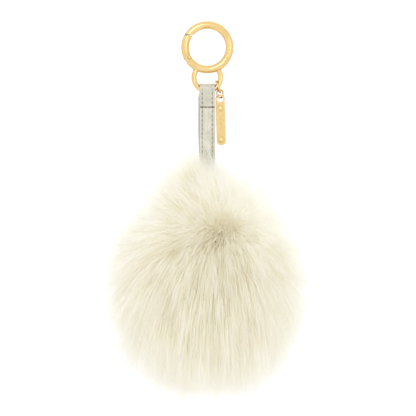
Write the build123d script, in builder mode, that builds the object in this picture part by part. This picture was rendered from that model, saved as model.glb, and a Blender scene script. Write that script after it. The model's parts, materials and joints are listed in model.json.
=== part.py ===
from build123d import *
import os
from math import acos, atan2, cos, hypot, pi, radians, sin

# A fur pompom key charm, hanging from its spring-gate ring. Millimetres, +Z up.
# The origin is the centre of the ring, the front faces -Y and +X is to the right.
# Angles round the ring and the loop are counter-clockwise as seen from the front.
os.makedirs("parts", exist_ok=True)

# ---- driving dimensions -------------------------------------------------------
# spring-gate ring
ring_radius = 13.15          # to the middle of the round bar
ring_bar = 2.2               # radius of the bar
pin_radius_place = 12.3      # the hinge pin sits a little inside the bar's middle
pin_angle = 210.0
pin_shank = 0.60
pin_head = 0.95
head_seat = 1.55             # how far from the middle plane the pin's heads bear
knuckle = 2.1                # round end of the fixed part at the hinge
knuckle_edge = 0.95          # where its outer side stops, along the gate
hinge_gap = 0.10
slot_half = 1.15             # half width of the slot that the gate's lugs turn in
lug_outer = 1.07
lug_inner = 0.62
lug_radius = 1.85
pin_hole_fixed = 0.62
pin_hole_gate = 0.66
gate_top = 6.8               # flat free end of the gate
body_end = 7.6               # flat end of the fixed part above it
nose_half = 0.55             # latch nose that stops the gate from swinging outwards
nose_inner = -10.6
nose_tip = 5.9
nose_play = 0.15
nose_floor = 5.0             # floor of the gate's slot for the nose
# gate spring
spring_coil = 0.95
spring_wire = 0.14
spring_pitch = 0.32
spring_turns = 2
spring_back_leg = 2.9
spring_front_leg = 1.6
# small loop under the ring
loop_drop = 17.9             # its centre under the ring's centre
loop_radius = 7.87
loop_wire = 1.45
loop_end_angle = 48.0        # where its ends meet the middle of the ring's bar
# the two jump rings
upper_place = -38.0          # angle round the loop where the upper link hangs
upper_drop = 0.60            # its centre below the loop's wire, along its own plane
upper_lean = 20.0
upper_radius = 3.4
upper_wire = 0.60
lower_radius = 2.5
lower_wire = 0.50
lower_turn = 45.0            # the lower link stands half turned to the front
link_slack = 0.50
# tag
tag_width = 5.3
tag_length = 29.8
tag_thick = 0.95
tag_corner = 2.3
tag_hole = 1.85
tag_hole_play = 0.62         # room over the turned link's wire in the tag's hole
tag_lean = 1.6               # the tag leans on the strap's edge, its foot to the right
tag_edge = 2.65              # from the hole's middle up to the plate's top edge
stud_offsets = (-5.4, -23.9)
stud_head = 1.65
stud_shank = 0.8
stud_height = 0.85
lozenge_offsets = (-11.6, -14.65, -17.7)
lozenge_width = 1.7
lozenge_height = 2.5
engraving = 0.12
# strap
strap_width = 9.2
leather = 1.0
tape = 0.4                   # reinforcement tape between the two layers
fold_z = -24.80              # middle of the fold's tunnel
fold_inner = 2.54
seam_z = -34.9               # where the two layers meet
neck_z = -68.0               # where the strap bends at the top of the fur
edge_row = 3.1
stitch_pitch = 2.6
stitch_length = 1.9
stitch_width = 0.4
stitch_proud = 0.18
cross_count = 4
cross_thread = 0.9
cross_proud = 0.4
# strap end and anchor inside the ball
tail_end = -129.0
neck_clear = 0.2
neck_shoulder = 1.0
rivet_z = -125.0
rivet_shank = 1.0
rivet_head = 2.5
rivet_head_thick = 0.8
washer_top = -119.0
washer_radius = 9.0
washer_thick = 1.5
slot_play = 0.2
# ball
ball_z = -136.0
core_radius = 20.0
pelt_inner = 20.1
pelt_outer = 21.3
collar_width = 12.4
collar_depth = 5.6
collar_top = -108.0
thread_z = -110.5
thread_height = 1.2
thread_thick = 0.6
anchor_room = 9.4
fur_axis_x = -1.0
fur_outline = ((12.0, -71.6), (28.0, -77.5), (40.0, -88.5), (50.0, -101.5),
               (56.5, -116.0), (59.5, -132.0), (60.0, -150.0), (57.5, -166.0),
               (51.5, -181.0), (41.0, -194.5), (26.5, -202.2))
fur_top = -70.5
fur_bottom = -205.5
fur_gap = 0.1

# ---- derived places -----------------------------------------------------------
front_axis = Axis((0, 0, 0), (0, -1, 0))
pin_x = pin_radius_place * cos(radians(pin_angle))
pin_z = pin_radius_place * sin(radians(pin_angle))
# local x runs from the pin towards the gate, local y runs outwards
pin_plane = Plane(
    origin=(pin_x, 0, pin_z),
    x_dir=(sin(radians(pin_angle)), 0, -cos(radians(pin_angle))),
    z_dir=(0, -1, 0),
)
# local x outwards, local y towards the gate, local z along the pin
coil_height = spring_pitch * spring_turns
coil_plane = Plane(
    origin=(pin_x, -coil_height / 2, pin_z),
    x_dir=(cos(radians(pin_angle)), 0, sin(radians(pin_angle))),
    z_dir=(0, 1, 0),
)
coil_slope = spring_pitch / (2 * pi * spring_coil)
upper_down = (sin(radians(upper_lean)), -cos(radians(upper_lean)))
upper_x = loop_radius * cos(radians(upper_place)) + upper_drop * upper_down[0]
upper_z = -loop_drop + loop_radius * sin(radians(upper_place)) + upper_drop * upper_down[1]
hang_x = upper_x + upper_radius * upper_down[0]
hang_z = upper_z + upper_radius * upper_down[1]
lower_z = hang_z + upper_wire + lower_wire + link_slack - lower_radius
tag_z = lower_z - lower_radius + lower_wire + tag_hole_play - tag_hole
tag_plane = Plane(
    origin=(hang_x, 0, tag_z),
    x_dir=(cos(radians(tag_lean)), 0, sin(radians(tag_lean))),
    z_dir=(0, -1, 0),
)
half_strap = leather + tape / 2
fold_outer = fold_inner + leather


def radial_plane(angle, centre_z):
    """Plane through the Y direction, its local x pointing outwards at this angle."""
    return Plane(
        origin=(0, 0, centre_z),
        x_dir=(cos(radians(angle)), 0, sin(radians(angle))),
        z_dir=(-sin(radians(angle)), 0, cos(radians(angle))),
    )


def tangent_point(radius, depth, height):
    """Point where the line from (depth, height) touches the fold's circle, on its own side."""
    drop = height - fold_z
    reach = hypot(depth, drop)
    turn = atan2(drop, depth) + acos(radius / reach)
    return (radius * cos(turn), fold_z + radius * sin(turn))


# ---- spring-gate ring ---------------------------------------------------------
with BuildPart() as ring_envelope:
    with BuildSketch(radial_plane(0, 0)):
        with Locations((ring_radius, 0)):
            Circle(ring_bar)
    revolve(axis=front_axis)

with BuildPart() as ring_body:
    with BuildSketch(radial_plane(193, 0)):
        with Locations((ring_radius, 0)):
            Circle(ring_bar)
    revolve(axis=front_axis, revolution_arc=332)
    # flat end above the gate, with the latch nose left standing on it
    with BuildSketch(Plane.XZ):
        with Locations((-11.5, nose_tip / 2)):
            Rectangle(9, nose_tip)
        with Locations((nose_inner + 2, body_end / 2)):
            Rectangle(4, body_end)
    extrude(amount=3, both=True, mode=Mode.SUBTRACT)
    for side in (-1, 1):
        with Locations((-11.5, side * (nose_half + 1.5), body_end / 2)):
            Box(9, 3, body_end, mode=Mode.SUBTRACT)
    # room for the gate beyond the knuckle
    with BuildSketch(pin_plane):
        with Locations((knuckle_edge + 4, 0)):
            Rectangle(8, 12)
        Circle(knuckle, mode=Mode.SUBTRACT)
    extrude(amount=3, both=True, mode=Mode.SUBTRACT)
    # slot for the gate's lugs
    with BuildSketch(pin_plane):
        with Locations((2.5 - lug_radius - hinge_gap, 0)):
            Rectangle(5, 12)
    extrude(amount=slot_half, both=True, mode=Mode.SUBTRACT)
    # pin hole and the flats that its heads bear on
    with BuildSketch(pin_plane):
        Circle(pin_hole_fixed)
    extrude(amount=3, both=True, mode=Mode.SUBTRACT)
    for seat in (pin_plane.offset(head_seat), pin_plane.offset(-head_seat - 2)):
        with BuildSketch(seat):
            Circle(pin_head + 0.05)
        extrude(amount=2, mode=Mode.SUBTRACT)
    # hole for the spring's back leg
    leg_plane = Plane(
        origin=coil_plane.from_local_coords((spring_coil, -lug_radius, -lug_radius * coil_slope)),
        z_dir=coil_plane.y_dir,
    )
    with BuildSketch(leg_plane):
        Circle(spring_wire + 0.08)
    extrude(amount=-1.4, mode=Mode.SUBTRACT)
    # engraved lozenges on the right of the ring's front
    for angle in (4, -7, -18, -29):
        lozenge_plane = Plane(
            origin=(ring_radius * cos(radians(angle)), -ring_bar + engraving,
                    ring_radius * sin(radians(angle))),
            x_dir=(cos(radians(angle)), 0, sin(radians(angle))),
            z_dir=(0, -1, 0),
        )
        with BuildSketch(lozenge_plane):
            with BuildLine():
                Polyline((-0.6, 0), (0, 0.95), (0.6, 0), (0, -0.95), close=True)
            make_face()
        extrude(amount=1, mode=Mode.SUBTRACT)
ring_body.part.label = "ring_body"
export_step(ring_body.part, "parts/ring_body.step")

with BuildPart() as ring_gate:
    with BuildSketch(radial_plane(135, 0)):
        with Locations((ring_radius, 0)):
            Circle(ring_bar)
    revolve(axis=front_axis, revolution_arc=90)
    # outside the lugs the gate starts beyond the knuckle
    for cheek in (pin_plane.offset(lug_outer), pin_plane.offset(-lug_outer - 3)):
        with BuildSketch(cheek):
            Circle(knuckle + hinge_gap)
            with Locations((knuckle_edge + hinge_gap - 5, 0)):
                Rectangle(10, 12)
        extrude(amount=3, mode=Mode.SUBTRACT)
    # the lugs end round behind the pin
    with BuildSketch(pin_plane):
        with Locations((-5, 0)):
            Rectangle(10, 12)
        Circle(lug_radius, mode=Mode.SUBTRACT)
    extrude(amount=3, both=True, mode=Mode.SUBTRACT)
    # room for the spring between the lugs
    with BuildSketch(pin_plane):
        Circle(knuckle + hinge_gap)
        with Locations((-5, 0)):
            Rectangle(10, 12)
    extrude(amount=lug_inner, both=True, mode=Mode.SUBTRACT)
    with BuildSketch(pin_plane):
        Circle(pin_hole_gate)
    extrude(amount=3, both=True, mode=Mode.SUBTRACT)
    # flat free end with the slot for the latch nose
    with Locations((-11.5, 0, gate_top + 4)):
        Box(12, 6, 8, mode=Mode.SUBTRACT)
    with Locations((nose_inner + nose_play - 3, 0, nose_floor + 2)):
        Box(6, 2 * (nose_half + nose_play), 4, mode=Mode.SUBTRACT)
ring_gate.part.label = "ring_gate"
export_step(ring_gate.part, "parts/ring_gate.step")

with BuildPart() as gate_pin:
    with BuildSketch(pin_plane):
        Circle(pin_shank)
    extrude(amount=head_seat, both=True)
    for head, way in ((pin_plane.offset(head_seat), 1), (pin_plane.offset(-head_seat), -1)):
        with BuildSketch(head):
            Circle(pin_head)
        extrude(amount=0.5 * way)
    head_rims = gate_pin.edges().filter_by(GeomType.CIRCLE).sort_by(Axis.Y)
    fillet([head_rims[0], head_rims[-1]], radius=0.35)
gate_pin.part.label = "gate_pin"
export_step(gate_pin.part, "parts/gate_pin.step")

# the spring is wound in the coil's own frame and then put round the pin
with BuildPart() as spring_winding:
    with BuildLine() as spring_path:
        Helix(pitch=spring_pitch, height=coil_height, radius=spring_coil)
        Line((spring_coil, -spring_back_leg, -spring_back_leg * coil_slope), (spring_coil, 0, 0))
        Line(
            (spring_coil, 0, coil_height),
            (spring_coil, spring_front_leg, coil_height + spring_front_leg * coil_slope),
        )
    with BuildSketch(Plane(origin=spring_path.wires()[0] @ 0, z_dir=spring_path.wires()[0] % 0)):
        Circle(spring_wire)
    sweep(path=spring_path.wires()[0])

with BuildPart() as gate_spring:
    with Locations(coil_plane):
        add(spring_winding.part)
gate_spring.part.label = "gate_spring"
export_step(gate_spring.part, "parts/gate_spring.step")

# ---- loop and links -----------------------------------------------------------
with BuildPart() as strap_loop:
    with BuildSketch(radial_plane(180 - loop_end_angle, -loop_drop)):
        with Locations((loop_radius, 0)):
            Circle(loop_wire)
    revolve(
        axis=Axis((0, 0, -loop_drop), (0, -1, 0)),
        revolution_arc=180 + 2 * loop_end_angle,
    )
    # its ends are shaped to the ring's bar, where they are brazed on
    add(ring_envelope.part, mode=Mode.SUBTRACT)
strap_loop.part.label = "strap_loop"
export_step(strap_loop.part, "parts/strap_loop.step")

with BuildPart() as upper_link:
    with Locations(Plane(
        origin=(upper_x, 0, upper_z),
        x_dir=(upper_down[0], 0, upper_down[1]),
        z_dir=(-upper_down[1], 0, upper_down[0]),
    )):
        Torus(upper_radius, upper_wire)
upper_link.part.label = "upper_link"
export_step(upper_link.part, "parts/upper_link.step")

with BuildPart() as lower_link:
    with Locations(Plane(
        origin=(hang_x, 0, lower_z),
        x_dir=(0, 0, 1),
        z_dir=(cos(radians(lower_turn)), -sin(radians(lower_turn)), 0),
    )):
        Torus(lower_radius, lower_wire)
lower_link.part.label = "lower_link"
export_step(lower_link.part, "parts/lower_link.step")

# ---- tag ----------------------------------------------------------------------
with BuildPart() as tag_plate:
    with BuildSketch(tag_plane):
        with Locations((0, tag_edge - tag_length / 2)):
            RectangleRounded(tag_width, tag_length, tag_corner)
    extrude(amount=tag_thick / 2, both=True)
    face_rims = tag_plate.faces().sort_by(Axis.Y)
    chamfer([*face_rims[0].edges(), *face_rims[-1].edges()], length=0.12)
    with BuildSketch(tag_plane):
        Circle(tag_hole)
        with Locations(*[(0, offset) for offset in stud_offsets]):
            Circle(stud_shank)
    extrude(amount=tag_thick, both=True, mode=Mode.SUBTRACT)
    # three engraved lozenges between the studs
    with BuildSketch(tag_plane.offset(tag_thick / 2 - engraving)):
        for offset in lozenge_offsets:
            with BuildLine():
                Polyline(
                    (-lozenge_width / 2, offset),
                    (0, offset + lozenge_height / 2),
                    (lozenge_width / 2, offset),
                    (0, offset - lozenge_height / 2),
                    close=True,
                )
            make_face()
    extrude(amount=1, mode=Mode.SUBTRACT)
tag_plate.part.label = "tag_plate"
export_step(tag_plate.part, "parts/tag_plate.step")

with BuildPart() as tag_studs:
    for offset in stud_offsets:
        # half profile of a domed stud: head in front, shank, flat tail behind
        stud_plane = Plane(
            origin=tag_plane.from_local_coords((0, offset, 0)),
            x_dir=tag_plane.x_dir,
            z_dir=tag_plane.y_dir,
        )
        half = tag_thick / 2
        dome = stud_height - 0.2
        dome_radius = (stud_head**2 + dome**2) / (2 * dome)
        dome_turn = atan2(stud_head, dome_radius - dome) / 2
        dome_middle = (
            dome_radius * sin(dome_turn),
            -half - stud_height + dome_radius * (1 - cos(dome_turn)),
        )
        with BuildSketch(stud_plane):
            with BuildLine():
                Polyline(
                    (0, -half - stud_height),
                    (0, half + 0.3),
                    (1.25, half + 0.3),
                    (1.25, half),
                    (stud_shank, half),
                    (stud_shank, -half),
                    (stud_head, -half),
                    (stud_head, -half - 0.2),
                )
                ThreePointArc(
                    (stud_head, -half - 0.2),
                    dome_middle,
                    (0, -half - stud_height),
                )
            make_face()
        revolve(axis=Axis(stud_plane.origin, (0, 1, 0)))
tag_studs.part.label = "tag_studs"
export_step(tag_studs.part, "parts/tag_studs.step")

# ---- strap --------------------------------------------------------------------
outer_touch = tangent_point(fold_outer, half_strap, seam_z)
inner_touch = tangent_point(fold_inner, tape / 2, seam_z)

with BuildPart() as strap_leather:
    with BuildSketch(Plane.YZ):
        with BuildLine():
            ThreePointArc(
                (outer_touch[0], outer_touch[1]),
                (0, fold_z + fold_outer),
                (-outer_touch[0], outer_touch[1]),
            )
            Polyline((-outer_touch[0], outer_touch[1]), (-half_strap, seam_z), (-half_strap, neck_z))
            ThreePointArc((-half_strap, neck_z), (0, neck_z - half_strap), (half_strap, neck_z))
            Polyline((half_strap, neck_z), (half_strap, seam_z), (outer_touch[0], outer_touch[1]))
        make_face()
        # tunnel of the fold, closing to the tape's slot at the seam
        with BuildLine():
            ThreePointArc(
                (inner_touch[0], inner_touch[1]),
                (0, fold_z + fold_inner),
                (-inner_touch[0], inner_touch[1]),
            )
            Polyline(
                (-inner_touch[0], inner_touch[1]),
                (-tape / 2, seam_z),
                (tape / 2, seam_z),
                (inner_touch[0], inner_touch[1]),
            )
        make_face(mode=Mode.SUBTRACT)
        with Locations((0, (seam_z + neck_z) / 2)):
            Rectangle(tape, seam_z - neck_z, mode=Mode.SUBTRACT)
    extrude(amount=strap_width / 2, both=True)
strap_leather.part.label = "strap_leather"
export_step(strap_leather.part, "parts/strap_leather.step")

with BuildPart() as strap_core:
    with Locations((0, 0, (seam_z + neck_z) / 2)):
        Box(strap_width - 1.2, tape, seam_z - neck_z)
strap_core.part.label = "strap_core"
export_step(strap_core.part, "parts/strap_core.step")

stitch_count = int((seam_z - neck_z - 4.0) / stitch_pitch)
with BuildPart() as edge_stitching:
    for face in (-1, 1):
        for row in (-edge_row, edge_row):
            for index in range(stitch_count):
                depth = face * (half_strap + stitch_proud / 2)
                height = seam_z - 2.6 - index * stitch_pitch
                with Locations((row, depth, height)):
                    Box(stitch_width, stitch_proud, stitch_length)
edge_stitching.part.label = "edge_stitching"
export_step(edge_stitching.part, "parts/edge_stitching.step")

cross_pitch = (strap_width - 0.4) / cross_count
with BuildPart() as cross_stitch:
    for face in (-1, 1):
        for index in range(cross_count):
            across = -strap_width / 2 + 0.2 + cross_pitch * (index + 0.5)
            depth = face * (half_strap + cross_proud / 2)
            with Locations((across, depth, seam_z - cross_thread / 2 - 0.1)):
                Box(cross_pitch - 0.25, cross_proud, cross_thread)
cross_stitch.part.label = "cross_stitch"
export_step(cross_stitch.part, "parts/cross_stitch.step")

# ---- strap end and its anchor -------------------------------------------------
with BuildPart() as strap_tail:
    tail_top = neck_z - neck_shoulder
    with Locations((0, 0, (tail_top + tail_end) / 2)):
        Box(strap_width, 2 * half_strap, tail_top - tail_end)
    with BuildSketch(Plane.YZ):
        with Locations((0, neck_z)):
            Circle(half_strap + neck_clear)
    extrude(amount=strap_width, both=True, mode=Mode.SUBTRACT)
    with Locations(Plane(origin=(0, 0, rivet_z), z_dir=(0, -1, 0))):
        Hole(radius=rivet_shank, depth=10)
strap_tail.part.label = "strap_tail"
export_step(strap_tail.part, "parts/strap_tail.step")

with BuildPart() as anchor_rivet:
    with BuildSketch(Plane.XZ):
        with Locations((0, rivet_z)):
            Circle(rivet_shank)
    extrude(amount=half_strap, both=True)
    for seat, way in ((half_strap, 1), (-half_strap, -1)):
        with BuildSketch(Plane.XZ.offset(seat)):
            with Locations((0, rivet_z)):
                Circle(rivet_head)
        extrude(amount=rivet_head_thick * way)
anchor_rivet.part.label = "anchor_rivet"
export_step(anchor_rivet.part, "parts/anchor_rivet.step")

with BuildPart() as anchor_washer:
    with BuildSketch(Plane.XY.offset(washer_top - washer_thick)):
        Circle(washer_radius)
        Rectangle(strap_width + 2 * slot_play, 2 * (half_strap + slot_play), mode=Mode.SUBTRACT)
    extrude(amount=washer_thick)
anchor_washer.part.label = "anchor_washer"
export_step(anchor_washer.part, "parts/anchor_washer.step")

# ---- ball ---------------------------------------------------------------------
with BuildPart() as stuffing_core:
    with Locations((0, 0, ball_z)):
        Sphere(core_radius)
    # room for the strap's end, the rivet and the washer
    with BuildSketch(Plane.XY.offset(tail_end - 1)):
        Circle(anchor_room)
    extrude(amount=30, mode=Mode.SUBTRACT)
stuffing_core.part.label = "stuffing_core"
export_step(stuffing_core.part, "parts/stuffing_core.step")

with BuildPart() as pelt_skin:
    with Locations((0, 0, ball_z)):
        Sphere(pelt_outer)
    # gathered neck round the strap
    with BuildSketch(Plane.XY.offset(collar_top)):
        RectangleRounded(collar_width, collar_depth, 2.4)
    extrude(amount=-10)
    with Locations((0, 0, ball_z)):
        Sphere(pelt_inner, mode=Mode.SUBTRACT)
    with BuildSketch(Plane.XY.offset(collar_top)):
        Rectangle(strap_width + 2 * slot_play, 2 * (half_strap + slot_play))
    extrude(amount=-14, mode=Mode.SUBTRACT)
pelt_skin.part.label = "pelt_skin"
export_step(pelt_skin.part, "parts/pelt_skin.step")

with BuildPart() as gather_thread:
    with BuildSketch(Plane.XY.offset(thread_z)):
        RectangleRounded(collar_width + 2 * thread_thick, collar_depth + 2 * thread_thick, 3.0)
        RectangleRounded(collar_width, collar_depth, 2.4, mode=Mode.SUBTRACT)
    extrude(amount=thread_height)
gather_thread.part.label = "gather_thread"
export_step(gather_thread.part, "parts/gather_thread.step")

with BuildPart() as fur_pile:
    with BuildSketch(Plane.XZ):
        with BuildLine():
            Spline(
                (fur_axis_x, fur_top),
                *[(fur_axis_x + radius, height) for radius, height in fur_outline],
                (fur_axis_x, fur_bottom),
                tangents=((1, 0), (-1, 0)),
            )
            Line((fur_axis_x, fur_bottom), (fur_axis_x, fur_top))
        make_face()
    revolve(axis=Axis((fur_axis_x, 0, 0), (0, 0, 1)))
    with Locations((0, 0, ball_z)):
        Sphere(pelt_outer + fur_gap, mode=Mode.SUBTRACT)
    # room for the gathered neck and, above it, for the strap
    collar_room = collar_depth + 2 * thread_thick + 0.6
    with BuildSketch(Plane.XY.offset(ball_z)):
        Rectangle(collar_width + 2 * thread_thick + 0.6, collar_room)
    extrude(amount=collar_top + 0.5 - ball_z, mode=Mode.SUBTRACT)
    with BuildSketch(Plane.XY.offset(ball_z)):
        Rectangle(strap_width + 0.8, 2 * half_strap + 0.8)
    extrude(amount=fur_top + 5 - ball_z, mode=Mode.SUBTRACT)
fur_pile.part.label = "fur_pile"
export_step(fur_pile.part, "parts/fur_pile.step")

for name, z in (("upper link hangs at", hang_z), ("tag hole", tag_z)):
    print(name, round(hang_x, 3), round(z, 3))
print("pin", round(pin_x, 3), round(pin_z, 3))
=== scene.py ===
"""Looks of a fur pompom key charm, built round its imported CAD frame. Metres, +Z up, front towards -Y."""
import json
from math import pi, radians

import bmesh
import bpy
import numpy as np
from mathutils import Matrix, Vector


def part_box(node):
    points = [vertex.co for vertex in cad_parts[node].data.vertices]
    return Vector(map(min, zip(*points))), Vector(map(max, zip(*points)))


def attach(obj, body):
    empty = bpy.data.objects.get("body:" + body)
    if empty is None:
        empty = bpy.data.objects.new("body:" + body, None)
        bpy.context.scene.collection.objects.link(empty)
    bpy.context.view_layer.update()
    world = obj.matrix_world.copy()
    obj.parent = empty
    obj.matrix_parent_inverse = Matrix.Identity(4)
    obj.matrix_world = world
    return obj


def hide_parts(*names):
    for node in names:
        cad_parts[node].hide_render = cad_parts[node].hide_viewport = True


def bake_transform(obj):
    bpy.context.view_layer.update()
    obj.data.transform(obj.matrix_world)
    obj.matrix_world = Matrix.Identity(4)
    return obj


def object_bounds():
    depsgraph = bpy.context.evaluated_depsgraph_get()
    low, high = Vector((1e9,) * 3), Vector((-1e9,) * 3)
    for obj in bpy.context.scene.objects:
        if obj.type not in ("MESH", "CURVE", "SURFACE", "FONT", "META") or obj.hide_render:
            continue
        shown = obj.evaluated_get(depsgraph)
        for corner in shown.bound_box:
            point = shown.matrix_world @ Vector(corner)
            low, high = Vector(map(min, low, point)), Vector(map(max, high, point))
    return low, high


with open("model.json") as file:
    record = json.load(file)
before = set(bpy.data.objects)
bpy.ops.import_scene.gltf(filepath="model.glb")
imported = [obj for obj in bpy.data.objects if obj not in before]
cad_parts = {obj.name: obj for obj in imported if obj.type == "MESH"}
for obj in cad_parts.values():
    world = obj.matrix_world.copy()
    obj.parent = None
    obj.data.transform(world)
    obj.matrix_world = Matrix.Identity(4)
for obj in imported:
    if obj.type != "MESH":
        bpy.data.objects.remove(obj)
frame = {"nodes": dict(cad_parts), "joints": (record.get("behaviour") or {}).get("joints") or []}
cad_low, cad_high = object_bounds()
MM = 0.001
rng = np.random.default_rng(20240611)


# ---- arrays ---------------------------------------------------------------------
def unit(vectors):
    return vectors / np.maximum(np.linalg.norm(vectors, axis=-1, keepdims=True), 1e-12)


def smooth_step(low, high, value):
    t = np.clip((value - low) / (high - low), 0, 1)
    return t * t * (3 - 2 * t)


def hump(value, centre, width):
    """1 at the centre, falling to nothing on both sides."""
    return np.exp(-(((value - centre) / width) ** 2))


def box(node):
    """A node's lowest and highest corners as arrays."""
    low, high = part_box(node)
    return np.array(low), np.array(high)


def joint_place(name):
    """Where a joint of the record sits."""
    return next(np.array(joint["pos_m"]) for joint in frame["joints"] if joint["name"] == name)


# ---- meshes ---------------------------------------------------------------------
def new_mesh(name, points, faces):
    """A smooth mesh from an array of points and arrays of faces, each array with one corner count."""
    mesh = bpy.data.meshes.new(name)
    faces = [np.asarray(group, np.int32) for group in faces]
    corners = np.concatenate([group.ravel() for group in faces])
    totals = np.concatenate([np.full(len(group), group.shape[1], np.int32) for group in faces])
    mesh.vertices.add(len(points))
    mesh.vertices.foreach_set("co", np.asarray(points, np.float32).ravel())
    mesh.loops.add(len(corners))
    mesh.loops.foreach_set("vertex_index", corners)
    mesh.polygons.add(len(totals))
    mesh.polygons.foreach_set("loop_start", (np.cumsum(totals) - totals).astype(np.int32))
    mesh.polygons.foreach_set("loop_total", totals)
    mesh.update(calc_edges=True)
    mesh.polygons.foreach_set("use_smooth", np.full(len(totals), True))
    return mesh


def new_piece(name, mesh, material):
    """An object in the scene with one material."""
    obj = bpy.data.objects.new(name, mesh)
    bpy.context.scene.collection.objects.link(obj)
    mesh.materials.append(material)
    return obj


def loop_grid(rows, columns, first=0):
    """Quads between rows of points, where each row is a closed loop."""
    row = np.arange(rows - 1)[:, None] * columns + first
    column = np.arange(columns)[None, :]
    after = (column + 1) % columns
    quads = np.stack([row + column, row + after, row + after + columns, row + column + columns], -1)
    return quads.reshape(-1, 4)


def tubes(centre, radius, sides, reference):
    """Points and faces of closed round tubes. centre is paths x points x 3, radius is paths x points."""
    count, length = centre.shape[:2]
    ahead = unit(np.gradient(centre, axis=1))
    side = unit(np.cross(ahead, reference))
    other = np.cross(ahead, side)
    turn = np.arange(sides) * 2 * pi / sides
    around = side[:, :, None] * np.cos(turn)[:, None] + other[:, :, None] * np.sin(turn)[:, None]
    points = (centre[:, :, None] + around * radius[:, :, None, None]).reshape(-1, 3)
    starts = (np.arange(count) * length * sides)[:, None]
    quads = (loop_grid(length, sides)[None] + starts[:, :, None]).reshape(-1, 4)
    corner = np.arange(sides)
    near_caps = starts + corner[::-1]
    far_caps = starts + (length - 1) * sides + corner
    return points, [quads, near_caps, far_caps]


def lathe(profile, segments, warp):
    """A closed solid turned round Z, from a profile (r, z) with both ends on the axis, then warped."""
    turn = np.arange(segments) * 2 * pi / segments
    inner = profile[1:-1]
    points = np.stack(
        [
            inner[:, :1] * np.cos(turn), inner[:, :1] * np.sin(turn), np.repeat(inner[:, 1:], segments, 1),
        ],
        -1,
    )
    points = np.concatenate([[[0, 0, profile[0, 1]]], points.reshape(-1, 3), [[0, 0, profile[-1, 1]]]])
    column = np.arange(segments)
    after = (column + 1) % segments
    last = 1 + (len(inner) - 1) * segments
    start_fan = np.stack([np.zeros_like(column), 1 + after, 1 + column], -1)
    end_fan = np.stack([np.full_like(column, len(points) - 1), last + column, last + after], -1)
    return warp(points), [loop_grid(len(inner), segments, 1), start_fan, end_fan]


def plied(centre, radius, plies, pitch):
    """The yarns of a twisted thread: each path becomes plies paths that wind round it."""
    ahead = unit(np.gradient(centre, axis=1))
    side = unit(np.cross(ahead, np.array([0.31, 0.55, 0.77])))
    other = np.cross(ahead, side)
    gone = np.linalg.norm(np.diff(centre, axis=1, prepend=centre[:, :1]), axis=2).cumsum(1)
    made = []
    for ply in range(plies):
        turn = (gone / pitch + ply / plies)[..., None] * 2 * pi
        made.append(centre + (side * np.cos(turn) + other * np.sin(turn)) * radius * 0.5)
    return np.concatenate(made), radius * 0.56


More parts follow.
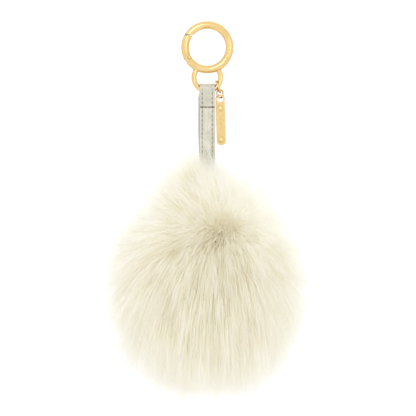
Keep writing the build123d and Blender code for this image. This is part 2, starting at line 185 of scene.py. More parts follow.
# ---- node materials -------------------------------------------------------------
class Nodes:
    """A material's node tree, with short calls to add and join nodes."""

    def __init__(self, name):
        self.material = bpy.data.materials.new(name)
        self.material.use_nodes = True
        self.tree = self.material.node_tree
        self.shader = self.tree.nodes["Principled BSDF"]
        self.coordinates = self.add("ShaderNodeTexCoord").outputs["Object"]

    def add(self, kind, **values):
        node = self.tree.nodes.new(kind)
        for key, value in values.items():
            setattr(node, key, value)
        return node

    def join(self, source, target):
        self.tree.links.new(source, target)

    def place(self, scale):
        """The piece's own coordinates, stretched."""
        node = self.add("ShaderNodeMapping")
        node.inputs["Scale"].default_value = scale
        self.join(self.coordinates, node.inputs["Vector"])
        return node.outputs["Vector"]

    def noise(self, scale, detail=3.0, rough=0.5, vector=None):
        node = self.add("ShaderNodeTexNoise")
        node.inputs["Scale"].default_value = scale
        node.inputs["Detail"].default_value = detail
        node.inputs["Roughness"].default_value = rough
        self.join(vector or self.coordinates, node.inputs["Vector"])
        return node.outputs["Fac"]

    def cells(self, scale):
        node = self.add("ShaderNodeTexVoronoi", feature="F1")
        node.inputs["Scale"].default_value = scale
        self.join(self.coordinates, node.inputs["Vector"])
        return node.outputs["Distance"]

    def bands(self, scale, direction, distortion=0.0):
        node = self.add("ShaderNodeTexWave", wave_type="BANDS", bands_direction=direction)
        node.inputs["Scale"].default_value = scale
        node.inputs["Distortion"].default_value = distortion
        self.join(self.coordinates, node.inputs["Vector"])
        return node.outputs["Fac"]

    def ramp(self, value, *stops):
        node = self.add("ShaderNodeValToRGB")
        elements = node.color_ramp.elements
        while len(elements) < len(stops):
            elements.new(0.5)
        for element, (place, colour) in zip(elements, stops):
            element.position = place
            element.color = (*colour, 1) if isinstance(colour, tuple) else (colour, colour, colour, 1)
        self.join(value, node.inputs["Fac"])
        return node.outputs["Color"]

    def spread(self, value, low, high):
        """A 0 to 1 value spread from low to high."""
        node = self.add("ShaderNodeMapRange")
        node.inputs["To Min"].default_value = low
        node.inputs["To Max"].default_value = high
        self.join(value, node.inputs["Value"])
        return node.outputs["Result"]

    def maths(self, operation, first, second):
        node = self.add("ShaderNodeMath", operation=operation)
        for socket, value in zip(node.inputs, (first, second)):
            if isinstance(value, (int, float)):
                socket.default_value = value
            else:
                self.join(value, socket)
        return node.outputs["Value"]

    def mix(self, kind, factor, first, second):
        """Two colours blended, where each colour and the factor may be a value or a socket."""
        node = self.add("ShaderNodeMix", data_type="RGBA", blend_type=kind)
        sockets = node.inputs["Factor"], node.inputs[6], node.inputs[7]
        for socket, value in zip(sockets, (factor, first, second)):
            if isinstance(value, (int, float)):
                socket.default_value = value
            elif isinstance(value, tuple):
                socket.default_value = (*value, 1)
            else:
                self.join(value, socket)
        return node.outputs[2]

    def painted_crevice_shade(self, distance, colour, shade_colour, low=0.45, high=0.95, own=False):
        """The colour, darkened with painted shade where nearby surfaces hem it in, found by ambient
        occlusion. own looks only at the piece's own grooves.
        """
        node = self.add("ShaderNodeAmbientOcclusion", samples=8, only_local=own)
        node.inputs["Distance"].default_value = distance
        # how open the surface is; the less open, the more the colour goes to the painted shade colour
        unshaded_share = self.ramp(node.outputs["AO"], (low, 0.0), (high, 1.0))
        return self.mix("MIX", unshaded_share, shade_colour, colour)

    def colour(self, source):
        self.join(source, self.shader.inputs["Base Color"])

    def roughness(self, source):
        self.join(source, self.shader.inputs["Roughness"])

    def bump(self, height, strength, distance):
        node = self.add("ShaderNodeBump")
        node.inputs["Strength"].default_value = strength
        node.inputs["Distance"].default_value = distance
        self.join(height, node.inputs["Height"])
        self.join(node.outputs["Normal"], self.shader.inputs["Normal"])

    def set(self, **values):
        for name, value in values.items():
            self.shader.inputs[name.replace("_", " ")].default_value = value


GOLD = (0.865, 0.640, 0.300)
GOLD_WARM = (0.80, 0.560, 0.235)
# near black-brown used as painted shade in the gold's gaps and grooves
GOLD_PAINTED_SHADE = (0.20, 0.115, 0.030)
GOLD_EDGE = (0.62, 0.39, 0.16, 1)


def polished_gold(name, rough, grain):
    """Plated metal: faint casting waves, fine hairline scratches, warmer patches and painted shade in the
    gaps.
    """
    nodes = Nodes(name)
    waves = nodes.noise(260, 2)
    hairlines = nodes.noise(900, 4, 0.6, nodes.place((1, 1, 9)))
    plating = nodes.ramp(nodes.noise(130, 3), (0.32, GOLD_WARM), (0.60, GOLD))
    # painted shade: the plating darkens in gaps, engraving and tight corners
    nodes.colour(nodes.painted_crevice_shade(1.1 * MM, plating, GOLD_PAINTED_SHADE, 0.30, 0.92))
    nodes.roughness(nodes.spread(hairlines, rough * 0.6, rough * 1.5))
    nodes.bump(nodes.maths("ADD", waves, nodes.maths("MULTIPLY", hairlines, 0.15)), grain, 0.2 * MM)
    nodes.set(Metallic=1.0, Specular_Tint=GOLD_EDGE)
    return nodes.material


def satin_gold(name):
    """The tag: satin plating with a fine speckle."""
    nodes = Nodes(name)
    speckle = nodes.noise(2600, 2, 0.6)
    face = nodes.ramp(
        speckle, (0.36, (0.61, 0.42, 0.165)), (0.52, (0.72, 0.53, 0.235)), (0.68, (0.81, 0.63, 0.31)),
    )
    # painted shade where the tag's engraving and studs hem its face in
    nodes.colour(nodes.painted_crevice_shade(0.9 * MM, face, GOLD_PAINTED_SHADE, 0.30, 0.92))
    nodes.roughness(nodes.spread(nodes.noise(420, 3), 0.26, 0.44))
    nodes.bump(speckle, 0.35, 0.12 * MM)
    nodes.set(Metallic=1.0, Specular_Tint=GOLD_EDGE)
    return nodes.material


def steel(name):
    """Bare spring steel with drawing marks."""
    nodes = Nodes(name)
    grain = nodes.noise(1500, 3)
    # painted shade: the steel darkens to near black in its tight gaps
    nodes.colour(nodes.painted_crevice_shade(0.5 * MM, nodes.ramp(grain, (0.35, 0.42), (0.65, 0.62)), (0.08, 0.07, 0.06)))
    nodes.roughness(nodes.spread(grain, 0.25, 0.42))
    nodes.bump(grain, 0.2, 0.05 * MM)
    nodes.set(Metallic=1.0)
    return nodes.material


def metallic_leather(name):
    """Calf leather under a pearly silver-beige foil: pebbled grain, long fine wrinkles and painted shade in
    its creases and grooves.
    """
    nodes = Nodes(name)
    pebbles = nodes.cells(1700)
    wrinkles = nodes.noise(620, 6, 0.7, nodes.place((1, 1, 0.30)))
    cloud = nodes.noise(150, 3)
    tone = nodes.maths("ADD", nodes.maths("MULTIPLY", wrinkles, 0.65), nodes.maths("MULTIPLY", cloud, 0.35))
    foil = nodes.ramp(
        tone, (0.36, (0.53, 0.505, 0.415)), (0.50, (0.62, 0.595, 0.50)), (0.64, (0.71, 0.685, 0.585)),
    )
    # painted shade: the foil darkens in the piece's own stitch grooves, seam and creases
    nodes.colour(nodes.painted_crevice_shade(1.0 * MM, foil, (0.15, 0.135, 0.095), 0.42, 0.93, own=True))
    nodes.roughness(nodes.spread(wrinkles, 0.34, 0.60))
    nodes.bump(nodes.maths("ADD", pebbles, nodes.maths("MULTIPLY", wrinkles, 1.4)), 0.5, 0.18 * MM)
    nodes.set(Metallic=0.35, Coat_Weight=0.10, Coat_Roughness=0.4)
    return nodes.material


def thread(name, colour):
    """Waxed sewing thread: fine fibres along the twist."""
    nodes = Nodes(name)
    fibres = nodes.noise(5200, 3, 0.6, nodes.place((1, 1, 0.4)))
    dark_fibre_and_shade = tuple(part * 0.62 for part in colour)
    # the darker fibre colour also serves as painted shade between the plies and where the thread sinks in
    nodes.colour(nodes.painted_crevice_shade(0.4 * MM, nodes.ramp(fibres, (0.35, dark_fibre_and_shade), (0.62, colour)), dark_fibre_and_shade))
    nodes.bump(fibres, 0.5, 0.06 * MM)
    nodes.set(Roughness=0.62, Sheen_Weight=0.15)
    return nodes.material


def woven_tape(name):
    """Plain-woven cotton tape."""
    nodes = Nodes(name)
    weave = nodes.maths("MAXIMUM", nodes.bands(700, "X", 0.6), nodes.bands(700, "Z", 0.6))
    nodes.colour(nodes.ramp(weave, (0.2, (0.42, 0.40, 0.34)), (0.9, (0.66, 0.64, 0.57))))
    nodes.bump(weave, 0.7, 0.1 * MM)
    nodes.set(Roughness=0.88, Sheen_Weight=0.2)
    return nodes.material


def suede(name):
    """The pelt's flesh side: chalky cream suede with a short nap and pores."""
    nodes = Nodes(name)
    nap = nodes.noise(900, 5, 0.65)
    pores = nodes.cells(1100)
    face = nodes.ramp(nap, (0.35, (0.90, 0.86, 0.77)), (0.65, (0.95, 0.925, 0.86)))
    # painted shade in the pelt's own seams and gathers
    nodes.colour(nodes.painted_crevice_shade(1.5 * MM, face, (0.62, 0.54, 0.40), own=True))
    nodes.roughness(nodes.spread(nap, 0.78, 0.92))
    nodes.bump(nodes.maths("ADD", nap, pores), 0.5, 0.15 * MM)
    nodes.set(Sheen_Weight=0.3)
    return nodes.material


def fibre_fill(name):
    """White polyester stuffing: wispy and matte."""
    nodes = Nodes(name)
    wisps = nodes.noise(520, 8, 0.75)
    nodes.colour(nodes.ramp(wisps, (0.35, (0.74, 0.74, 0.72)), (0.60, (0.90, 0.90, 0.88))))
    nodes.bump(wisps, 0.9, 0.5 * MM)
    nodes.set(Roughness=0.95, Sheen_Weight=0.4)
    return nodes.material


def moulded_plastic(name):
    """Matte white moulded plastic with a fine spark-eroded texture."""
    nodes = Nodes(name)
    texture = nodes.noise(2400, 3)
    nodes.colour(nodes.ramp(texture, (0.4, (0.70, 0.69, 0.66)), (0.6, (0.78, 0.77, 0.74))))
    nodes.roughness(nodes.spread(texture, 0.48, 0.62))
    nodes.bump(texture, 0.3, 0.05 * MM)
    return nodes.material


def cream_fur(name):
    """Long cream hair, warmer at the root and near white at the tip, that lets some light through."""
    nodes = Nodes(name)
    # the hairs' own map: u is how far along the hair, v is the hair's shade
    spot = nodes.add("ShaderNodeUVMap", uv_map="OFBake")
    split = nodes.add("ShaderNodeSeparateXYZ")
    nodes.join(spot.outputs["UV"], split.inputs["Vector"])
    along = nodes.ramp(
        split.outputs["X"],
        (0.0, (0.993, 0.970, 0.855)), (0.45, (0.994, 0.983, 0.912)), (0.80, (0.995, 0.988, 0.940)),
    )
    shade = nodes.ramp(
        split.outputs["Y"], (0.0, (0.988, 0.975, 0.94)), (0.5, (0.999, 0.996, 0.984)), (1.0, 1.0),
    )
    nodes.colour(nodes.mix("MULTIPLY", 1.0, along, shade))
    nodes.set(Roughness=0.45, Specular_IOR_Level=0.3, Subsurface_Weight=1.0, Subsurface_Scale=0.8 * MM)
    nodes.shader.inputs["Subsurface Radius"].default_value = (1.0, 1.0, 1.0)
    return nodes.material


def floor_paper(name):
    nodes = Nodes(name)
    fibres = nodes.noise(60, 4)
    nodes.colour(nodes.ramp(fibres, (0.4, 0.90), (0.6, 0.93)))
    nodes.bump(fibres, 0.1, 0.2 * MM)
    nodes.set(Roughness=0.85)
    return nodes.material


# ---- camera, light and floor ----------------------------------------------------
PICTURE_SPAN = 0.2459       # what the square picture spans at the object
VIEW_CENTRE = Vector((0.0004, 0.0, -0.0950))
VIEW_DISTANCE = 1.6
FLOOR_DROP = 0.105
BOUNCES = 160               # enough for light to go on from hair to hair inside the fur
camera = bpy.data.cameras.new("camera")
camera.lens = camera.sensor_width * VIEW_DISTANCE / PICTURE_SPAN
camera.clip_end = 20.0
camera_object = bpy.data.objects.new("camera", camera)
camera_object.location = VIEW_CENTRE - Vector((0, VIEW_DISTANCE, 0))
camera_object.rotation_euler = (pi / 2, 0, 0)
bpy.context.scene.collection.objects.link(camera_object)
bpy.context.scene.camera = camera_object
bpy.context.scene.view_settings.view_transform = "Standard"
bpy.context.scene.cycles.max_bounces = BOUNCES
bpy.context.scene.cycles.transmission_bounces = BOUNCES
bpy.context.scene.cycles.glossy_bounces = BOUNCES
bpy.context.scene.cycles.diffuse_bounces = BOUNCES

world = bpy.data.worlds.new("light_tent")
world.use_nodes = True
bpy.context.scene.world = world
world.node_tree.nodes["Background"].inputs["Color"].default_value = (1.0, 1.0, 1.0, 1)
world.node_tree.nodes["Background"].inputs["Strength"].default_value = 1.08


def softbox(name, place, size, power):
    """A soft area lamp that faces the middle of the object."""
    lamp = bpy.data.lights.new(name, "AREA")
    lamp.shape = "SQUARE"
    lamp.size = size
    lamp.energy = power
    obj = bpy.data.objects.new(name, lamp)
    obj.location = place
    obj.rotation_euler = (VIEW_CENTRE - obj.location).to_track_quat("-Z", "Y").to_euler()
    bpy.context.scene.collection.objects.link(obj)


softbox("key_light", (-0.35, -1.75, 0.55), 0.5, 2.8)
softbox("fill_light", (0.75, -1.65, 0.05), 0.4, 1.0)
softbox("back_light", (0.2, 1.5, 0.9), 1.2, 4.0)

floor_mesh = bpy.data.meshes.new("floor")
floor_bm = bmesh.new()
bmesh.ops.create_circle(floor_bm, cap_ends=True, segments=96, radius=0.75)
floor_bm.to_mesh(floor_mesh)
floor_bm.free()
floor = new_piece("floor", floor_mesh, floor_paper("floor_paper"))
floor.location.z = cad_low[2] - FLOOR_DROP

# ---- hardware -------------------------------------------------------------------
gold = polished_gold("gold_plate", 0.17, 0.10)
link_gold = polished_gold("gold_wire", 0.22, 0.14)
spring_steel = steel("spring_steel")
CAD_LOOKS = {
    "ring_body": gold, "ring_gate": gold, "gate_pin": gold, "strap_loop": gold,
    "upper_link": link_gold, "lower_link": link_gold, "tag_plate": satin_gold("tag_gold"), "tag_studs": gold,
    "gate_spring": spring_steel, "anchor_rivet": spring_steel,
    "anchor_washer": moulded_plastic("washer_plastic"),
}
for node, material in CAD_LOOKS.items():
    cad_object = frame["nodes"][node]
    cad_object.data.materials.clear()
    cad_object.data.materials.append(material)

# ---- strap: one leather strip, folded over the loop, with tape between its layers ---
_, leather_high = box("strap_leather")
tail_low, tail_high = box("strap_tail")
_, tape_high = box("strap_core")
cross_low, cross_high = box("cross_stitch")
_, edge_high = box("edge_stitching")
FOLD = joint_place("strap_swing")
NECK = joint_place("pompom_tilt")
HALF_WIDTH = leather_high[0]
HALF_STRAP = tail_high[1]               # from the strap's middle plane to its outer faces
HALF_TAPE = tape_high[1]
LEATHER = HALF_STRAP - HALF_TAPE
FOLD_OUTER = leather_high[2] - FOLD[2]
SEAM_Z = (cross_low[2] + cross_high[2]) / 2
ROW = edge_high[0] - 0.3 * MM           # the stitch rows lie this far from the middle line
STITCH_PITCH = 2.6 * MM


def layer_shift(y, z):
    """The back layer lies a little to the left of the front one under the fold."""
    return np.where(y > 0, -0.8 * MM * smooth_step(FOLD[2] - 0.8 * MM, FOLD[2] - 6 * MM, z)
                    * smooth_step(NECK[2] - 5 * MM, SEAM_Z - 12 * MM, z), 0)


def leg_depth(z):
    """How far the strap's outer faces are from its middle plane at a height under the fold."""
    return HALF_STRAP + (FOLD_OUTER - HALF_STRAP) * smooth_step(SEAM_Z, FOLD[2], z)


def strip(name, rows, loop, shape):
    """A closed strip: a loop (across, height) carried along rows (y, z), then shaped."""
    ahead = unit(np.gradient(rows, axis=0))
    out = np.stack([-ahead[:, 1], ahead[:, 0]], -1)
    across = np.repeat(loop[None, :, 0], len(rows), 0)
    height = np.repeat(loop[None, :, 1], len(rows), 0)
    height = height + shape(across, height, rows)
    y = rows[:, :1] + out[:, :1] * height
    z = rows[:, 1:] + out[:, 1:] * height
    side = np.where(rows[:, :1] > 0, 1.0, -1.0) * np.ones_like(y)
    points = np.stack([across + layer_shift(side, z), y, z], -1)
    last = (len(rows) - 1) * len(loop) + np.arange(len(loop))
    caps = [np.arange(len(loop))[::-1][None], last[None]]
    return new_mesh(name, points.reshape(-1, 3), [loop_grid(len(rows), len(loop)), *caps])


def rounded_loop(half_width, thickness, corner, columns):
    """The outline of a flat strip's cross-section, whose outer face is at height 0."""
    turn = np.linspace(0, pi / 2, 5)
    half = thickness / 2
    flat = np.linspace(-half_width + corner, half_width - corner, columns)[1:-1]
    across = half_width - corner + corner * np.sin(turn)
    drop = (corner - corner * np.cos(turn)) * half / corner
    return np.concatenate([
        np.stack([flat, np.zeros_like(flat)], -1),
        np.stack([across, -drop], -1),
        np.stack([across[::-1], -thickness + drop[::-1]], -1)[1:],
        np.stack([flat[::-1], np.full_like(flat, -thickness)], -1),
        np.stack([-across, -thickness + drop], -1),
        np.stack([-across[::-1], -drop[::-1]], -1)[1:],
    ])


crease_phase = rng.uniform(0, 2 * pi, (9, 2))
crease_size = rng.uniform(0.25, 1.0, 9)


def creases(across, along):
    """Long shallow wrinkles, in metres."""
    total = 0
    for step, (phase, size) in enumerate(zip(crease_phase, crease_size)):
        total = total + size * np.sin(across / MM * (0.5 + 0.33 * step) + phase[0]
                                      + 0.8 * np.sin(along / MM * (0.09 + 0.05 * step) + phase[1]))
    return total * 0.011 * MM


def leather_shape(across, height, rows):
    """Sewn rows with needle holes, a puffed middle, thin edges, and a fold that sags and is worn inside."""
    y, z = rows[:, :1], rows[:, 1:]
    face = np.clip(1 + height / (0.35 * LEATHER), 0, 1)
    off_row = np.abs(np.abs(across) - ROW)
    sewn = smooth_step(FOLD[2] + 3.4 * MM, FOLD[2], z)
    needle = np.cos((z - SEAM_Z) / STITCH_PITCH * 2 * pi)
    groove = -(0.26 + 0.07 * needle) * MM * hump(off_row, 0, 0.34 * MM) * sewn
    puff = 0.15 * MM * np.clip(1 - (across / ROW) ** 2, 0, 1)
    edge = -0.14 * MM * smooth_step(ROW + 0.4 * MM, HALF_WIDTH, np.abs(across))
    seam = -0.30 * MM * hump(z, SEAM_Z, 0.55 * MM)
    over = smooth_step(FOLD[2] + 1.6 * MM, FOLD[2] + FOLD_OUTER, z)
    sag = -0.35 * MM * over * (1 - (across / HALF_WIDTH) ** 2)
    inside = np.clip(-height / LEATHER, 0, 1)
    worn = 0.16 * MM * smooth_step(FOLD[2] - 1.5 * MM, FOLD[2] + 0.8 * MM, z) * inside
    return face * (groove + puff + edge + seam + creases(across, z + y * 3) + sag) + worn


seen_z = np.arange(NECK[2] - 6 * MM, FOLD[2], 0.33 * MM)
hidden_z = np.arange(tail_low[2], NECK[2] - 6.5 * MM, 1.6 * MM)
leg_z = np.concatenate([hidden_z, seen_z])
fold_turn = np.linspace(0, pi, 41)
front_leg = np.stack([-leg_depth(leg_z), leg_z], -1)
fold_rows = np.stack([-FOLD_OUTER * np.cos(fold_turn), FOLD[2] + FOLD_OUTER * np.sin(fold_turn)], -1)
back_leg = np.stack([leg_depth(leg_z), leg_z], -1)[::-1]
leather_rows = np.concatenate([front_leg, fold_rows, back_leg])
leather = metallic_leather("metallic_leather")
strap_loop_line = rounded_loop(HALF_WIDTH, LEATHER, 0.3 * MM, 53)
strap_mesh = strip("strap_strip", leather_rows, strap_loop_line, leather_shape)
strap = new_piece("strap_strip", strap_mesh, leather)
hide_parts("strap_leather", "strap_tail")
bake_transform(strap)

tape_z = np.arange(tail_low[2] + 1 * MM, tape_high[2], 1.2 * MM)
tape_rows = np.stack([np.full_like(tape_z, -HALF_TAPE), tape_z], -1)
tape_line = rounded_loop(HALF_WIDTH - 0.35 * MM, 2 * HALF_TAPE, 0.1 * MM, 12)
tape_mesh = strip("strap_tape", tape_rows, tape_line, lambda across, height, rows: 0)
tape = new_piece("strap_tape", tape_mesh, woven_tape("tape"))
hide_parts("strap_core")
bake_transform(tape)

# ---- stitches -------------------------------------------------------------------
STITCH_POINTS = 15
STITCH_HALF = 1.0 * MM
stitch_share = np.linspace(0, 1, STITCH_POINTS)


def stitches(name, spans, radius, rise, material, plies=3):
    """Thread stitches that rise from one hole and dive into the next. Spans are (start, end, outward y)."""
    starts, ends, outward = (np.array(part) for part in zip(*spans))
    middle = starts[:, None] + (ends - starts)[:, None] * stitch_share[:, None]
    arch = (1 - np.abs(2 * stitch_share - 1) ** 3) * (rise + 2 * radius) - 2 * radius
    middle[:, :, 1] += outward[:, None] * arch
    yarns, yarn_radius = plied(middle, radius, plies, 1.3 * MM)
    taper = np.interp(stitch_share, (0, 0.08, 0.92, 1), (0.45, 1, 1, 0.45))
    thickness = np.repeat((yarn_radius * taper)[None], len(yarns), 0)
    points, faces = tubes(yarns, thickness, 8, np.array([0.9, 0.1, 0.42]))
    return new_piece(name, new_mesh(name, points, faces), material)


edge_spans, cross_spans = [], []
for outward in (-1.0, 1.0):
    for row in (-ROW, ROW):
        for step in range(-3, int((SEAM_Z - NECK[2]) / STITCH_PITCH) + 1):
            if step == 0:
                continue
            z = SEAM_Z - step * STITCH_PITCH
            x = row + float(layer_shift(outward, z))
            ends = z + STITCH_HALF, z - STITCH_HALF
            edge_spans.append([(x, outward * (leg_depth(end) - 0.17 * MM), end) for end in ends] + [outward])
    for index in range(4):
        x = (index - 1.5) * 0.47 * HALF_WIDTH + float(layer_shift(outward, SEAM_Z))
        y = outward * (HALF_STRAP - 0.20 * MM)
        start = x - 1.08 * MM, y, SEAM_Z + 0.22 * MM
        end = x + 1.08 * MM, y, SEAM_Z - 0.22 * MM
        cross_spans.append((start, end, outward))
edge_look = thread("edge_thread", (0.50, 0.47, 0.385))
edge_piece = stitches("edge_stitches", edge_spans, 0.15 * MM, 0.10 * MM, edge_look)
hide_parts("edge_stitching")
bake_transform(edge_piece)
taupe = thread("taupe_thread", (0.25, 0.21, 0.135))
cross_piece = stitches("cross_stitches", cross_spans, 0.33 * MM, 0.24 * MM, taupe)
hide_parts("cross_stitch")
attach(cross_piece, "strap")

# ---- ball under the fur: stuffing, sewn pelt and the thread that gathers it -------
pelt_low, pelt_high = box("pelt_skin")
core_low, core_high = box("stuffing_core")
thread_low, thread_high = box("gather_thread")
PELT_RADIUS = (pelt_high[0] - pelt_low[0]) / 2
PELT = PELT_RADIUS - (core_high[0] - core_low[0]) / 2
BALL = np.array([0.0, 0.0, pelt_low[2] + PELT_RADIUS])
COLLAR_HALF = np.array([thread_high[0] - 0.6 * MM, thread_high[1] - 0.6 * MM])
SLOT_HALF = np.array([HALF_WIDTH + 0.35 * MM, HALF_STRAP + 0.35 * MM])
GORES = 6
GATHERS = 14
RIM_POLAR = radians(17)                 # where the ball turns into the collar


def arc(radius, from_polar, to_polar, steps):
    """Part of a circle round the ball's centre, as (r, z), by angle from the top."""
    polar = np.linspace(from_polar, to_polar, steps)
    return np.stack([radius * np.sin(polar), BALL[2] + radius * np.cos(polar)], -1)


def flat_oval(turn, half):
    """The collar's flattened outline: an oval of these half widths with fuller sides."""
    return half[..., 0] * np.cos(turn), half[..., 1] * np.sign(np.sin(turn)) * np.abs(np.sin(turn)) ** 0.7


def pelt_warp(points):
    """Sunken seams between the gores, gathers that run in to the collar, and the collar's flat outline."""
    radius = np.hypot(points[:, 0], points[:, 1])
    turn = np.arctan2(points[:, 1], points[:, 0])
    far = np.linalg.norm(points - BALL, axis=1)
    outside = smooth_step(PELT_RADIUS - 0.8 * PELT, PELT_RADIUS - 0.1 * PELT, far)
    polar = np.arccos(np.clip((points[:, 2] - BALL[2]) / np.maximum(far, 1e-9), -1, 1))
    collar = smooth_step(radians(32), RIM_POLAR, polar)
    near_seam = np.abs((turn * GORES / (2 * pi) + 0.5) % 1 - 0.5) * 2 * pi / GORES * radius
    sink = -0.55 * MM * hump(near_seam, 0, 0.7 * MM) * (1 - collar)
    gather = 0.5 * MM * np.cos(turn * GATHERS) * hump(polar, radians(27), radians(13))
    moved = points + unit(points - BALL) * ((sink + gather) * outside)[:, None]
    half = SLOT_HALF + (COLLAR_HALF - SLOT_HALF) * outside[:, None]
    flat = np.stack(flat_oval(turn, half), -1)
    waist = 1 - 0.10 * outside * hump(points[:, 2], (thread_low[2] + thread_high[2]) / 2, 0.9 * MM)
    moved[:, :2] = moved[:, :2] * (1 - collar[:, None]) + flat * (collar * waist)[:, None]
    return moved


collar_z = np.linspace(BALL[2] + PELT_RADIUS * np.cos(RIM_POLAR), pelt_high[2], 12)[1:]
collar_r = np.full_like(collar_z, PELT_RADIUS * np.sin(RIM_POLAR))
inner_r = np.full_like(collar_z, PELT_RADIUS * np.sin(RIM_POLAR) - PELT)
pelt_profile = np.concatenate([
    arc(PELT_RADIUS, pi, RIM_POLAR, 70),
    np.stack([collar_r, collar_z], -1),
    np.stack([inner_r, collar_z], -1)[::-1],
    arc(PELT_RADIUS - PELT, RIM_POLAR, pi, 60),
])
pelt_mesh = new_mesh("gathered_pelt", *lathe(pelt_profile, 168, pelt_warp))
pelt_piece = new_piece("gathered_pelt", pelt_mesh, suede("pelt_suede"))
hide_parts("pelt_skin")
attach(pelt_piece, "pompom")

CORE_RADIUS = PELT_RADIUS - PELT - 0.5 * MM
WELL_RADIUS = 9.6 * MM
lumps = unit(rng.normal(size=(70, 3)))
lump_size = rng.uniform(-0.7, 0.45, 70) * MM


def lumpy(points):
    """Tufts of stuffing that stand up and sink in."""
    way = unit(points - BALL)
    radius = np.hypot(points[:, 0], points[:, 1])
    skin = smooth_step(CORE_RADIUS * 0.93, CORE_RADIUS * 0.99, np.linalg.norm(points - BALL, axis=1))
    swell = (np.exp((way @ lumps.T - 1) * 42) * lump_size).sum(1)
    return points + way * (np.clip(swell, -1.2 * MM, 0.45 * MM) * skin * (radius > 0))[:, None]


well_polar = np.arcsin(WELL_RADIUS / CORE_RADIUS)
well_floor = tail_low[2] - 1 * MM
well_z = np.linspace(BALL[2] + CORE_RADIUS * np.cos(well_polar), well_floor, 9)
core_profile = np.concatenate([
    arc(CORE_RADIUS, pi, well_polar, 60),
    np.stack([np.full_like(well_z, WELL_RADIUS - 0.2 * MM), well_z], -1),
    [[WELL_RADIUS / 2, well_floor], [0, well_floor]],
])
core_mesh = new_mesh("stuffing", *lathe(core_profile, 120, lumpy))
core_piece = new_piece("stuffing", core_mesh, fibre_fill("fibre_fill"))
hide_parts("stuffing_core")
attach(core_piece, "pompom")

WRAPS = 3
WRAP_RADIUS = (thread_high[2] - thread_low[2]) / 2 / WRAPS
wrap_turn = np.linspace(0, WRAPS * 2 * pi, 240)
wrap_half = COLLAR_HALF * 0.92 + WRAP_RADIUS
wrap_line = np.stack([
    *flat_oval(wrap_turn, wrap_half),
    thread_high[2] - WRAP_RADIUS - wrap_turn / (2 * pi) * 2 * WRAP_RADIUS * (WRAPS - 1) / WRAPS,
], -1)[None]
wrap_yarns, wrap_yarn_radius = plied(wrap_line, WRAP_RADIUS, 3, 2.0 * MM)
wrap_points, wrap_faces = tubes(
    wrap_yarns, np.full(wrap_yarns.shape[:2], wrap_yarn_radius), 8, np.array([0.02, 0.03, 1.0])
)
wrap_mesh = new_mesh("gather_wraps", wrap_points, wrap_faces)
wrap_piece = new_piece("gather_wraps", wrap_mesh, taupe)
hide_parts("gather_thread")
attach(wrap_piece, "pompom")

# ---- fur ------------------------------------------------------------------------
FUR_PIECES = 12
LOCKS = 900
TUFTS = 6900
HAIRS_IN_TUFT = 11
HAIR_POINTS = 6
HAIR_RADIUS = 0.10 * MM
WHORL = unit(np.array([0.22, -0.60, 0.77]))     # the hair parts here, on the upper front
FILLED = unit(np.array([0.17, -0.78, 0.60]))    # the hair that shows end-on there has its roots here
NECK_CONE = radians(9)                          # no roots inside this angle from the strap
NECK_TUFTS = 360                                # more tufts that stand up round the strap
WHORL_TUFTS = 700                               # more tufts that fill the parting
HALO_TUFTS = 190                                # tufts that stand up along both faces of the strap
pile = frame["nodes"]["fur_pile"].data
pile_points = np.empty(len(pile.vertices) * 3)
pile.vertices.foreach_get("co", pile_points)
pile_points = pile_points.reshape(-1, 3)
pile_middle = (pile_points.min(0) + pile_points.max(0)) / 2
pile_points = pile_points - np.array([pile_middle[0], 0, BALL[2]])
pile_far = np.linalg.norm(pile_points, axis=1)
on_outside = pile_far > 1.8 * PELT_RADIUS
pile_polar = np.arccos(pile_points[on_outside, 2] / pile_far[on_outside])
by_polar = np.argsort(pile_polar)
OUTLINE = pile_polar[by_polar], pile_far[on_outside][by_polar]


def envelope(directions):
    """How far hair reaches from the ball's centre: the CAD pile's outline and a few millimetres."""
    polar = np.arccos(np.clip(directions[..., 2], -1, 1))
    left = 2.0 * MM * np.clip(-directions[..., 0], 0, 1) * hump(polar, radians(95), radians(28))
    upper = 2.0 * MM * hump(polar, radians(65), radians(30))
    lower = 4.5 * MM * hump(polar, radians(152), radians(20))
    shoulder = 3.0 * MM * hump(polar, radians(28), radians(18))
    return np.interp(polar, *OUTLINE) + shoulder + upper + lower + left


def scatter(count, cone):
    """Even random directions over the pelt, outside a cone round the strap."""
    made = unit(rng.normal(size=(count * 2, 3)))
    made = made[made[:, 2] < np.cos(cone)]
    return made[:count]


def groom(normals):
    """Which way, and how much, hair leans: down, most on front and back, and apart at the whorl."""
    fall = smooth_step(0.99, 0.75, normals[:, 2:]) * (0.60 + 1.60 * np.abs(normals[:, 1:2]))
    down = np.array([0, 0, -1.0]) + normals * normals[:, 2:]
    gap = np.arccos(np.clip(normals @ WHORL, -1, 1))[:, None]
    away = unit(normals * (normals @ WHORL)[:, None] - WHORL)
    away[:, 2] = np.minimum(away[:, 2], 0.1)
    parting = smooth_step(0, radians(30), gap) * hump(gap, radians(30), radians(35))
    swept = np.array([-0.6, 0, 0]) * hump(gap, 0, radians(45))
    return fall * down + 0.3 * parting * away + swept


def strands(normals, roots, bend, reach, sway):
    """Hairs as curves that leave the pelt straight out, lean more and more, and end at the envelope."""
    steps = 18
    lean = groom(normals) * bend[:, None]
    polar = np.arccos(np.clip(normals[:, 2:], -1, 1))
    heavy = 0.65 * smooth_step(radians(25), radians(85), polar) * np.array([0, 0, -1.0])
    path = [np.zeros_like(normals)]
    for step in range(steps):
        share = (step + 0.5) / steps
        way = unit(normals + lean * share**2 + heavy * share**2.5 + sway * share**1.5)
        path.append(path[-1] + way / steps)
    path = np.stack(path, 1)
    length = np.full(len(normals), 40 * MM)
    for _ in range(8):
        tip = roots + path[:, -1] * length[:, None] - BALL
        distance = np.linalg.norm(tip, axis=1)
        wanted = envelope(tip / distance[:, None]) * reach
        length *= np.clip(1 + (wanted - distance) / (0.75 * distance), 0.6, 1.5)
    kept = np.linspace(0, steps, HAIR_POINTS).round().astype(int)
    return roots[:, None] + path[:, kept] * length[:, None, None]


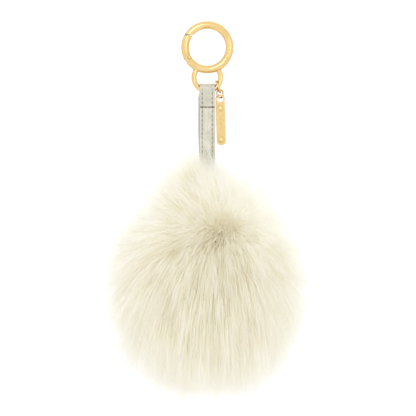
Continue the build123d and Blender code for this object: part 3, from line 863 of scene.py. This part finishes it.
# locks draw the tufts together, and each tuft draws its own hairs together
lock_way = scatter(LOCKS, NECK_CONE)
tuft_way = scatter(TUFTS - NECK_TUFTS - HALO_TUFTS - WHORL_TUFTS, NECK_CONE)
neck_polar = np.concatenate([
    rng.uniform(NECK_CONE, radians(30), (NECK_TUFTS, 1)),
    rng.uniform(NECK_CONE, radians(15), (HALO_TUFTS, 1)),
])
neck_turn = np.concatenate([
    rng.uniform(0, 2 * pi, (NECK_TUFTS, 1)),
    rng.normal(pi / 2, radians(28), (HALO_TUFTS, 1)),
])
neck_turn[-HALO_TUFTS:] *= rng.choice([-1, 1], (HALO_TUFTS, 1), p=[0.6, 0.4])
neck_way = np.concatenate(
    [np.sin(neck_polar) * np.cos(neck_turn), np.sin(neck_polar) * np.sin(neck_turn), np.cos(neck_polar)], 1
)
whorl_way = unit(FILLED + rng.normal(0, 0.24, (WHORL_TUFTS, 3)))
tuft_way = np.concatenate([tuft_way, neck_way, whorl_way])
lock_of = np.argmax(tuft_way @ lock_way.T, axis=1)
pulled = unit(tuft_way * 0.88 + lock_way[lock_of] * 0.12)
lock_sway = rng.normal(0, 0.07, (LOCKS, 3))
tuft_sway = lock_sway[lock_of] + rng.normal(0, 0.07, (TUFTS, 3))
tuft_sway[-WHORL_TUFTS:] += rng.normal(0, 0.28, (WHORL_TUFTS, 3))
tuft_bend = np.clip(rng.normal(1.1, 0.16, TUFTS), 0.6, 1.7)
tuft_bend[-WHORL_TUFTS:] *= rng.uniform(0.15, 1.0, WHORL_TUFTS)
layer = rng.random(TUFTS)
halo = slice(-WHORL_TUFTS - HALO_TUFTS, -WHORL_TUFTS)
under_reach = rng.uniform(0.70, 0.96, TUFTS)
outer_reach = 1.08 - np.abs(rng.normal(0, 0.050, TUFTS))
tuft_reach = np.where(layer < 0.36, under_reach, outer_reach)
tuft_reach -= np.abs(rng.normal(0, 0.03, LOCKS))[lock_of]
tuft_reach += np.where(layer > 0.95, rng.uniform(0.03, 0.07, TUFTS), 0)
near_strap = smooth_step(np.cos(radians(30)), np.cos(radians(12)), tuft_way[:, 2])
before_strap = hump(np.arctan2(tuft_way[:, 0], -tuft_way[:, 1]), 0, radians(35))
tuft_reach += near_strap * (rng.uniform(-0.05, 0.10, TUFTS) + before_strap * rng.uniform(0.02, 0.16, TUFTS))
tuft_reach[halo] = 1.02 + 0.21 * rng.random(HALO_TUFTS) ** 1.4
tuft_sway[halo] -= tuft_way[halo] * [0.6, 0.95, 0]
tuft_path = strands(pulled, BALL + tuft_way * PELT_RADIUS, tuft_bend, tuft_reach, tuft_sway)

tuft_of = np.repeat(np.arange(TUFTS), HAIRS_IN_TUFT)
HAIRS = len(tuft_of)
hair_way = unit(tuft_way[tuft_of] + rng.normal(0, 0.05, (HAIRS, 3)))
hair_path = strands(
    unit(hair_way * 0.55 + pulled[tuft_of] * 0.45),
    BALL + hair_way * (PELT_RADIUS - 0.3 * MM),
    tuft_bend[tuft_of] * rng.uniform(0.92, 1.08, HAIRS),
    tuft_reach[tuft_of] * rng.uniform(0.84, 1.02, HAIRS),
    tuft_sway[tuft_of] + rng.normal(0, 0.06, (HAIRS, 3)),
)
share = np.linspace(0, 1, HAIR_POINTS)[None, :, None]
closing = 0.30 * share**1.3 * rng.uniform(0.0, 1.0, (HAIRS, 1, 1))
hair_path = hair_path * (1 - closing) + tuft_path[tuft_of] * closing
stray = (rng.random(HAIRS) < 0.28)[:, None, None]
hair_path += stray * share**1.5 * rng.normal(0, 2.2 * MM, (HAIRS, 1, 3))

taper = np.interp(share[0, :, 0], (0, 0.5, 0.8, 1), (1.0, 0.95, 0.75, 0.3))
hair_radius = HAIR_RADIUS * rng.uniform(0.75, 1.25, (HAIRS, 1)) * taper
hair_shade = np.clip(rng.normal(0.55, 0.2, TUFTS)[tuft_of] + rng.normal(0, 0.14, HAIRS), 0, 1)
fur_look = cream_fur("cream_fur")


def hair_mesh(name, path, radius, shade):
    """Three-sided hairs that end in a point. Their flat facets keep the light that smoothed ones lose."""
    count, length = path.shape[:2]
    rings = (length - 1) * 3
    ahead = unit(np.gradient(path, axis=1))
    side = unit(np.cross(ahead, unit(rng.normal(size=(count, 1, 3)))))
    other = np.cross(ahead, side)
    turn = np.arange(3) * 2 * pi / 3
    around = side[:, :, None] * np.cos(turn)[:, None] + other[:, :, None] * np.sin(turn)[:, None]
    tube = path[:, :-1, None] + (around * radius[:, :, None, None])[:, :-1]
    points = np.concatenate([tube.reshape(count, -1, 3), path[:, -1:]], 1)
    first = np.arange(count)[:, None, None] * (rings + 1)
    quads = loop_grid(length - 1, 3) + first
    corner = np.arange(3)
    tip = np.stack([rings - 3 + corner, rings - 3 + (corner + 1) % 3, np.full(3, rings)], -1) + first
    root = np.array([[2, 1, 0]]) + first
    faces = [quads.reshape(-1, 4), tip.reshape(-1, 3), root.reshape(-1, 3)]
    mesh = new_mesh(name, points.reshape(-1, 3), faces)
    mesh.polygons.foreach_set("use_smooth", np.full(len(mesh.polygons), False))
    vertex = np.zeros(len(mesh.loops), np.int32)
    mesh.loops.foreach_get("vertex_index", vertex)
    place = vertex % (rings + 1)
    # each side of a hair gets its own narrow strip of the map, so that the map can be baked
    side_strip = 0.02 * (place % 3)
    spots = np.stack([place // 3 / (length - 1), 0.96 * shade[vertex // (rings + 1)] + side_strip], -1)
    uv_map = mesh.uv_layers.new(name="OFBake")
    uv_map.data.foreach_set("uv", (0.01 + 0.98 * spots).astype(np.float32).ravel())
    return mesh


by_side = np.argsort(np.arctan2(tuft_way[:, 1], tuft_way[:, 0]))
for index, tufts in enumerate(np.array_split(by_side, FUR_PIECES)):
    chosen = np.isin(tuft_of, tufts)
    mesh = hair_mesh(f"fur_{index:02d}", hair_path[chosen], hair_radius[chosen], hair_shade[chosen])
    fur_piece = new_piece(f"fur_{index:02d}", mesh, fur_look)
    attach(fur_piece, "pompom")
    if index == 0:
        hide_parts("fur_pile")
